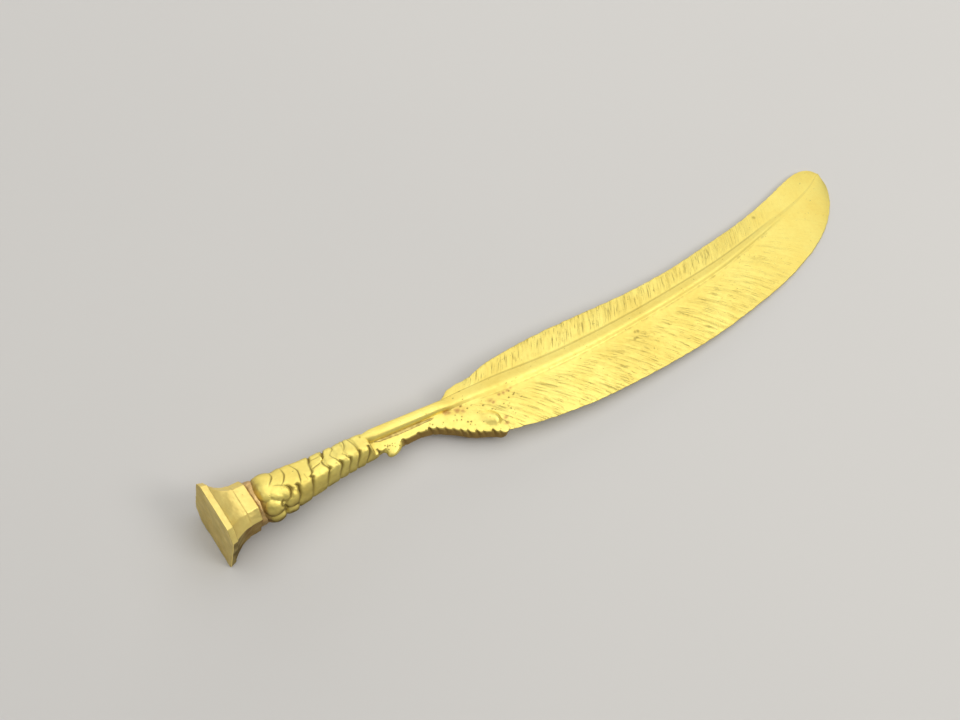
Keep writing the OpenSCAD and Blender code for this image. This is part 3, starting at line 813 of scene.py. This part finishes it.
def blob(centre, size, lean=0.0):
    """Points and faces of a smooth ellipsoid, leaned about Z."""
    bm = bmesh.new()
    bmesh.ops.create_icosphere(bm, subdivisions=4, radius=1.0)
    points = np.array([v.co[:] for v in bm.verts]) * size
    faces = [[v.index for v in f.verts] for f in bm.faces]
    bm.free()
    return points @ turn(0, 0, lean).T + centre, faces


def remesh(piece, voxel):
    """Joins overlapping shells of a piece into one skin."""
    modifier = piece.modifiers.new("skin", "REMESH")
    modifier.mode = "VOXEL"
    modifier.voxel_size = voxel * MM
    graph = bpy.context.evaluated_depsgraph_get()
    mesh = bpy.data.meshes.new_from_object(piece.evaluated_get(graph))
    piece.modifiers.clear()
    old = piece.data
    piece.data = mesh
    bpy.data.meshes.remove(old)
    mesh.polygons.foreach_set("use_smooth", [True] * len(mesh.polygons))
    mesh.update()


# the claw-shaped spur: centre, half sizes and lean of its two lobes, and where its joints are smoothed
SPUR_LOBES = [((41.8, -4.8, -0.5), (2.6, 1.4, 1.1), 24), ((41.6, -3.6, -0.6), (2.6, 1.5, 1.3), 20)]
SPUR_AT, SPUR_SMOOTH = (41.2, -4.9, -0.5), 2.6


def grip_shells():
    """All the overlapping shells of the grip, as one list of points and faces."""
    points, faces = [], []

    def add(some_points, some_faces):
        """Adds one closed shell to the list."""
        start = sum(len(p) for p in points)
        points.append(some_points)
        faces.extend([[start + i for i in face] for face in some_faces])

    body, rings, around = grip_body()
    add(body, ring_faces(rings, around))
    flat, rings, around = tongue()
    add(flat, ring_faces(rings, around))
    for lobe in SPUR_LOBES:
        add(*blob(*lobe))
    return np.concatenate(points), faces


def paint_grip(piece, points, normals, mark, is_top):
    """Darker cuts, creases and pits, painted shade on the flanks and underside, and coppery residue."""
    x, z, up = points[:, 0], points[:, 2], normals[:, 2]
    radius, a = around_grip(points)
    _, ink = carving(x, a, radius)
    on_shank = radius > 0.6 * curve(GRIP_RADIUS, np.clip(x, 8, 46))
    ink = 0.8 * ink * (on_shank * (1 - smoothstep(38, 39, x)))
    creases = smoothstep(0.02, 0.16, hollowness(piece, points, normals, 14)) * 0.75
    wobble = cloud(points, 0.9, 3)
    # painted shade on the flanks and underside, heavier on the knuckles, and down the ribbed near side of
    # the tongue
    low = smoothstep(0.72, 0.05, up) * (0.68 + 0.20 * wobble) * (1.35 - 0.35 * smoothstep(15, 19, x))
    # painted shade down the ribbed near side of the tongue
    rib_side_shade = smoothstep(42.5, 45, x) * smoothstep(0.60, 0.10, z) * smoothstep(0.9, 0.5, up)
    by_neck = (1 - smoothstep(8.0, 10.2, x + 0.8 * wobble)) * 0.5
    # the painted shade on the ribbed side also gets a brown tint through the stain
    paint(piece, hollow=np.maximum.reduce([creases, ink, mark * 0.8, low, 0.80 * rib_side_shade]),
          stain=np.maximum.reduce([residue(points, wobble, is_top), by_neck, 0.30 * rib_side_shade]))


def make_grip():
    """Shank, tongue and spur, joined into one skin, cast and pitted."""
    piece = mesh_piece("scaled_grip", *grip_shells())
    remesh(piece, VOXEL)
    points = bench_points(piece)
    points = 0.6 * points + 0.4 * neighbour_mean(piece, points, 1)
    near_spur = np.exp(-(np.linalg.norm(points - SPUR_AT, axis=1) / SPUR_SMOOTH) ** 4)[:, None]
    points = points + near_spur * (neighbour_mean(piece, points, 14) - points)
    normals = vertex_normals(piece)
    cast = 0.05 * cloud(points, 1.6, 1) + 0.03 * cloud(points, 0.5, 2)
    points = points + normals * cast[:, None]
    is_top = (normals[:, 2] > 0.5) & (points[:, 2] > -0.5)
    mark = dents(points, ROOT_PITS, *ROOT_DENT, is_top)
    mark = np.maximum(mark, dents(points, TONGUE_PITS, *TONGUE_DENT, is_top))
    set_bench_points(piece, points)
    paint_grip(piece, points, normals, mark, is_top)
    finish_piece(piece, brass("grip_brass", rough=(0.42, 0.58)), "grip")


make_grip()

# ---- Seal head ----

SEAL_SIDE, RIM_T, RIM_TAPER = 16.0, 1.55, 0.3
# size of the cut corners, and the share of it that the far top corner keeps
SEAL_CUT, SEAL_KEEP = 2.6, 0.2
COVE_L, COVE_STEP, COVE_POWER = 4.35, 0.45, 1.8
COLLAR_W, COLLAR_L, COLLAR_CUT, COLLAR_STEP = 10.9, 2.9, 0.42, 0.12
HEAD_L = RIM_T + COVE_L + COLLAR_L
SEAL_VOXEL, SEAL_BEVEL = 0.11, 0.14


def cut_square(x, half, cut, keep=1.0):
    """Eight corners across the axis of the head, from the far bottom round to the far top."""
    ring = []
    for q in (3, 2, 1, 0):
        k = cut * {2: keep, 0: 0.6 + 0.4 * keep}.get(q, 1.0)
        c, s = round(math.cos(q * math.pi / 2)), round(math.sin(q * math.pi / 2))
        for a, b in ((half - k, half), (half, half - k)):
            ring.append((x, a * c - b * s, a * s + b * c))
    return ring


def seal_rings():
    """Eight-cornered rings of the head, from the face along the cove to the end of the collar."""
    rim, collar = SEAL_SIDE / 2, COLLAR_W / 2
    collar_cut = collar * COLLAR_CUT
    cove_top = rim - RIM_TAPER - COVE_STEP
    rings = [cut_square(0, rim, SEAL_CUT, SEAL_KEEP),
             cut_square(RIM_T, rim - RIM_TAPER, SEAL_CUT, SEAL_KEEP)]
    for u in np.linspace(0, 1, 9):
        w = (1 - u) ** COVE_POWER
        half = collar + COLLAR_STEP + (cove_top - collar) * w
        cut = collar_cut + (SEAL_CUT - collar_cut) * w
        rings.append(cut_square(RIM_T + 0.06 + (COVE_L - 0.06) * u, half, cut, 1 + (SEAL_KEEP - 1) * w))
    rings.append(cut_square(RIM_T + COVE_L + 0.14, collar, collar_cut))
    rings.append(cut_square(HEAD_L, collar - 0.05, collar_cut))
    return rings


def make_seal():
    """Seal plate, cove and collar, with worn edges and filed faces."""
    rings = seal_rings()
    points = head_to_bench(np.array(rings).reshape(-1, 3))
    piece = mesh_piece("seal", points, ring_faces(len(rings), 8), smooth=False)
    bevel = piece.modifiers.new("soft_edges", "BEVEL")
    bevel.width = SEAL_BEVEL * MM
    bevel.segments = 3
    bevel.limit_method = "ANGLE"
    bevel.angle_limit = math.radians(24)
    remesh(piece, SEAL_VOXEL)
    points = bench_points(piece)
    points = 0.5 * points + 0.5 * neighbour_mean(piece, points, 2)
    normals = vertex_normals(piece)
    filed = 0.11 * cloud(points, 2.6, 5) + 0.035 * cloud(points, 0.8, 6)
    points = points + normals * (filed - 0.03)[:, None]
    set_bench_points(piece, points)

    from_face = ((points - FACE_AT) @ HEAD)[:, 0]
    blotch = cloud(points, 2.4, 8)
    creases = smoothstep(0.015, 0.10, hollowness(piece, points, normals, 12)) * 0.6
    # painted shade on the flanks and undersides behind the face, uneven
    flank_shade = smoothstep(0.40, 0.0, normals[:, 2]) * (from_face > 0.3) * (0.84 + 0.35 * blotch)
    face = smoothstep(0.15, 0.0, from_face) * (0.24 + 0.10 * blotch)
    # coppery stain at the collar end, and a brown tint on the painted flank shade
    stain = smoothstep(HEAD_L - 0.4, HEAD_L, from_face) * 0.4 + 0.25 * flank_shade * smoothstep(2, 6, from_face)
    paint(piece, hollow=np.maximum.reduce([creases, flank_shade, face]), stain=stain)
    filed_brass = brass("seal_brass", tone=(0.88, 0.72, 0.23), warm=(0.76, 0.55, 0.16), rough=(0.40, 0.55))
    finish_piece(piece, filed_brass, "seal_head")


make_seal()

# ---- Small parts ----

# the neck ring: distance past the collar and radius
NECK = [(-0.1, 4.9), (0.1, 5.25), (0.6, 5.3), (1.2, 5.35), (1.9, 5.2), (2.3, 4.5)]
NECK_MIDDLE, NECK_AROUND = 0.6, 96
# the bead beside the quill: ends in x, side at the start and its drift, height
SEAM_START, SEAM_END, SEAM_Y, SEAM_DRIFT, SEAM_Z = 37.3, 54.3, -1.35, -1.55, 0.60
SEAM_RINGS, SEAM_AROUND = 120, 20


def ring_angles(around):
    """Even angles around a ring, clockwise seen from its start."""
    return -np.radians(np.arange(around) * 360 / around)


def make_neck():
    """Lumpy ring of filler between the collar and the grip."""
    a = ring_angles(NECK_AROUND)
    rings = [np.stack([np.full(NECK_AROUND, HEAD_L + x), r * np.cos(a), r * np.sin(a)], 1) for x, r in NECK]
    points = head_to_bench(np.concatenate(rings))
    lump = 0.22 * cloud(points, 1.8, 9) + 0.1 * cloud(points, 0.6, 10)
    out = points - head_to_bench([HEAD_L + NECK_MIDDLE, 0, 0])
    out = out / np.linalg.norm(out, axis=1, keepdims=True)
    points = points + out * lump[:, None]
    piece = mesh_piece("neck_filler", points, ring_faces(len(rings), NECK_AROUND))
    # painted shade, darker toward the bottom of the ring, with random darker blotches
    shade = smoothstep(2.5, -1.5, points[:, 2]) * 0.55 + 0.25 * smoothstep(0, 0.1, cloud(points, 1.2, 11))
    paint(piece, hollow=shade, stain=np.full(len(points), 0.12))
    copper = brass("neck_filler", tone=(0.82, 0.60, 0.25), warm=(0.60, 0.37, 0.15), rough=(0.36, 0.55))
    finish_piece(piece, copper, "neck_solder")


def make_seam():
    """Uneven bead of brown filler in the groove beside the quill."""
    f = np.linspace(0, 1, SEAM_RINGS)[:, None]
    x = SEAM_START + (SEAM_END - SEAM_START) * f
    size = 0.24 + 0.42 * np.sin(math.pi * f**0.7) + 0.03 * np.sin(x * 2.3)
    size = size * np.clip(np.minimum(f, 1 - f) * 10, 0.15, 1) ** 0.6
    a = ring_angles(SEAM_AROUND)
    y = SEAM_Y + SEAM_DRIFT * f + size * np.cos(a)
    z = SEAM_Z + 0.36 * np.minimum(size * 3, 1) * np.sin(a)
    points = np.stack([np.repeat(x, SEAM_AROUND, 1), y, z], -1).reshape(-1, 3)
    piece = mesh_piece("root_filler", points, ring_faces(SEAM_RINGS, SEAM_AROUND))
    blotch = cloud(points, 0.8, 12)
    along = np.repeat(f, SEAM_AROUND, 1).ravel()
    paint(piece, hollow=0.12 + 0.25 * along + 0.3 * blotch, stain=0.02 + 0.15 * blotch)
    brown = brass("root_filler", tone=(0.76, 0.60, 0.20), warm=(0.55, 0.40, 0.13), rough=(0.42, 0.62))
    finish_piece(piece, brown, "root_solder")


make_neck()
make_seam()
# the pin and the stud keep their CAD shapes
plain_brass = brass("pin_brass", rough=(0.32, 0.5))
for node_name in ("tang_pin", "seal_stud"):
    node_object = frame["nodes"][node_name]
    node_object.data.materials.clear()
    node_object.data.materials.append(plain_brass)

# ---- Stage: pale floor, soft light, camera ----

FLOOR_REACH, FLOOR_TONES = 3.0, ((0.55, 0.54, 0.53), (0.58, 0.57, 0.555))
DAYLIGHT, LAMPLIGHT = (1.0, 0.985, 0.95), (1.0, 0.98, 0.93)
# name, place in metres, size in metres, watts, colour and the point that it faces
LIGHTS = [
    ("ceiling", (0.25, 0.25, 0.85), (1.9, 1.4), 12.0, DAYLIGHT, (0.25, 0.25, 0)),
    ("far", (0.30, 0.95, 0.26), (1.3, 0.4), 3.0, DAYLIGHT, (0, 0, 0.005)),
    ("key", (0.38, -0.50, 0.62), (0.34, 0.34), 2.6, LAMPLIGHT, (0, 0, 0.005)),
]
WORLD_COLOUR, WORLD_STRENGTH = (0.85, 0.86, 0.88, 1), 0.16


def make_floor():
    """Pale floor under the tool, outside the part."""
    mesh = bpy.data.meshes.new("floor")
    r = FLOOR_REACH
    mesh.from_pydata([(-r, -r, 0), (r, -r, 0), (r, r, 0), (-r, r, 0)], [], [(0, 1, 2, 3)])
    floor = bpy.data.objects.new("floor", mesh)
    bpy.context.scene.collection.objects.link(floor)
    n = Nodes("floor")
    n.shader.inputs["Roughness"].default_value = 0.8
    n.link(n.mix(n.grain(6, 2), *FLOOR_TONES), n.shader.inputs["Base Color"])
    mesh.materials.append(n.material)


def area_light(name, at, size, watts, colour, aim):
    """Rectangular light that faces the point aim."""
    light = bpy.data.lights.new(name, "AREA")
    light.shape = "RECTANGLE"
    light.size, light.size_y = size
    light.energy = watts
    light.color = colour
    lamp = bpy.data.objects.new(name, light)
    lamp.location = at
    lamp.rotation_euler = (Vector(aim) - Vector(at)).to_track_quat("-Z", "Y").to_euler()
    bpy.context.scene.collection.objects.link(lamp)


make_floor()
for light_row in LIGHTS:
    area_light(*light_row)

world = bpy.data.worlds.new("studio")
world.use_nodes = True
world.node_tree.nodes["Background"].inputs["Color"].default_value = WORLD_COLOUR
world.node_tree.nodes["Background"].inputs["Strength"].default_value = WORLD_STRENGTH
bpy.context.scene.world = world
bpy.context.scene.view_settings.view_transform = "Standard"

# the view is fixed to the bench frame: where the lens is, where it looks, and which way is up
CAMERA_AT = np.array([-6.134, -56.508, 182.272])
CAMERA_LOOK = np.array([0.37841, 0.29801, -0.87635])
CAMERA_UP = np.array([0.41043, 0.79458, 0.44743])
FOCAL = 30.56


def make_camera():
    """Camera at the fixed view of the tool."""
    data = bpy.data.cameras.new("view")
    data.lens = FOCAL
    data.sensor_width = 36
    data.clip_start = 0.01
    camera = bpy.data.objects.new("view", data)
    look, up = REST @ CAMERA_LOOK, REST @ CAMERA_UP
    right = np.cross(look, up)
    turned = np.stack([right, up, -look], 1)
    camera.matrix_world = Matrix.Translation(to_frame(CAMERA_AT)) @ Matrix(turned.tolist()).to_4x4()
    bpy.context.scene.collection.objects.link(camera)
    bpy.context.scene.camera = camera


make_camera()
